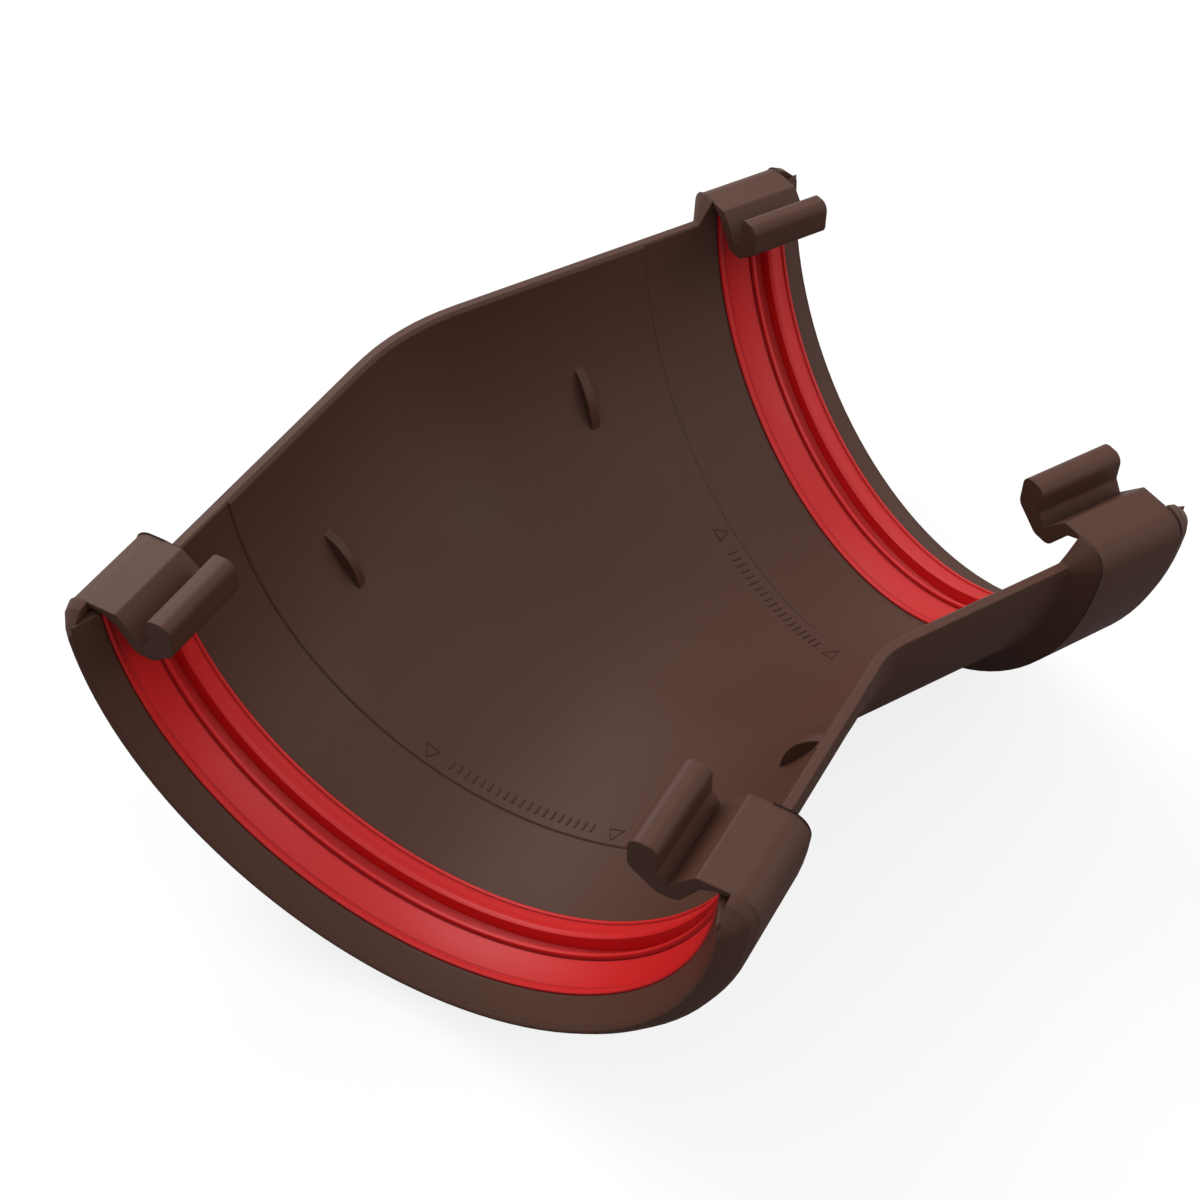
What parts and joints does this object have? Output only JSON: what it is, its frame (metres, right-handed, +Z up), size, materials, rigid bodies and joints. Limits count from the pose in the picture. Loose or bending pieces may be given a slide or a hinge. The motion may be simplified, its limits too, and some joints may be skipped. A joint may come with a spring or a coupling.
{
  "type": "gutter angle",
  "caption": "Half-round gutter angle of 150 degrees with two sealed clip sockets, moulded in brown plastic, with rubber seals.",
  "frame": {"origin": "middle of the bounding box, on the surface that the collars stand on", "axes": "+X from the left arm to the right arm, across the plane that mirrors them; -Y the inner, concave side of the bend; +Z up, out of the open side"},
  "size_m": [0.1824, 0.1384, 0.0663],
  "materials": {
    "brown_plastic": "satin moulded plastic",
    "red_rubber": "smooth matt rubber"
  },
  "bodies": {
    "root": {"angle_body": "brown_plastic", "seal_left": "red_rubber", "seal_right": "red_rubber"}
  },
  "joints": []
}
